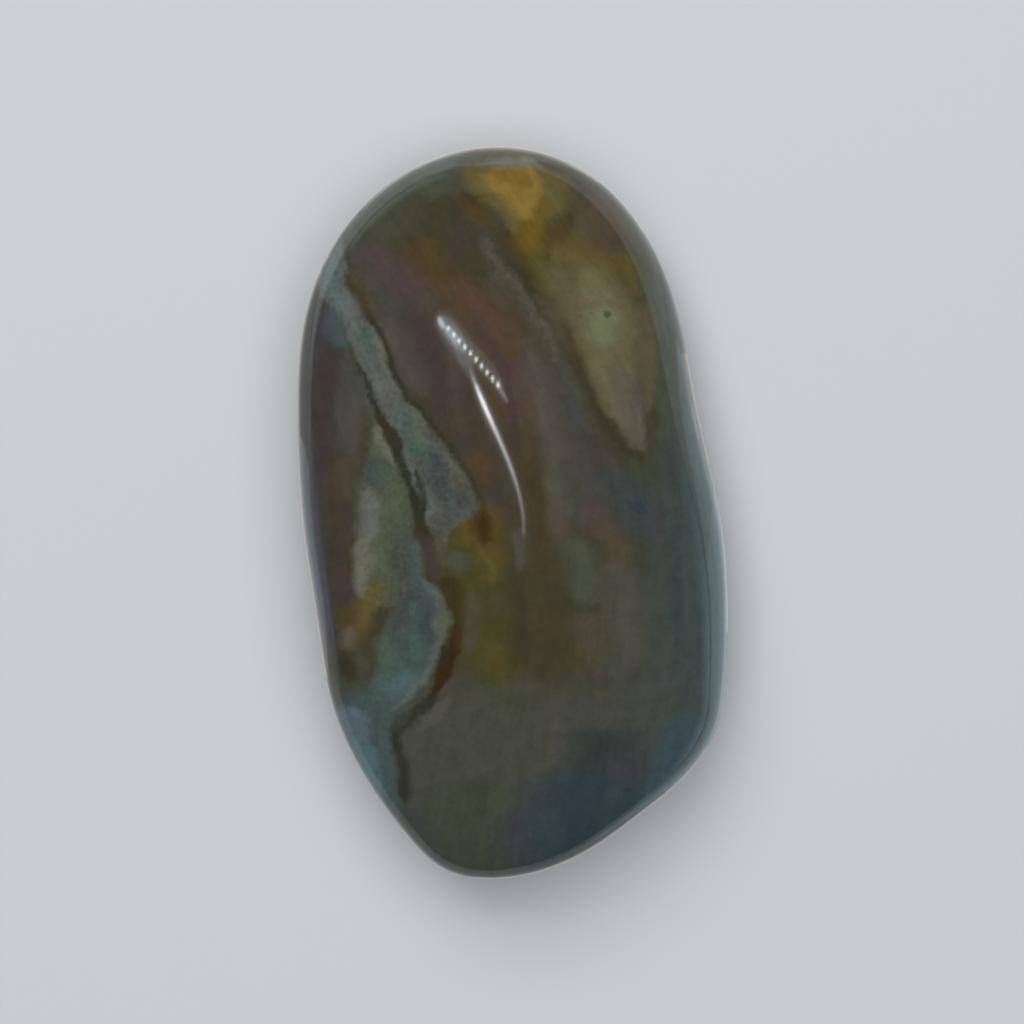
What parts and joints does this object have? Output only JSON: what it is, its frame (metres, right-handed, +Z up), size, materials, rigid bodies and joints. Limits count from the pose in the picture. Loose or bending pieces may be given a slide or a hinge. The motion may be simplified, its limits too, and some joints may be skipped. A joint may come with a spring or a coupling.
{
  "type": "polished jasper freeform",
  "caption": "Hand-ground, polished jasper freeform: a flattened, rounded oblong stone with a domed face, that lies on a small ground flat.",
  "frame": {"origin": "on the surface that the stone lies on, under the middle of its plan outline", "axes": "+Z up, out of the domed face; +Y along the stone's length, towards its broad round end; +X across it, to the right as the domed face is seen with the round end up"},
  "size_m": [0.0648, 0.1102, 0.031],
  "materials": {
    "polished_jasper": "polished"
  },
  "bodies": {
    "root": {"jasper_stone": "polished_jasper"}
  },
  "joints": []
}
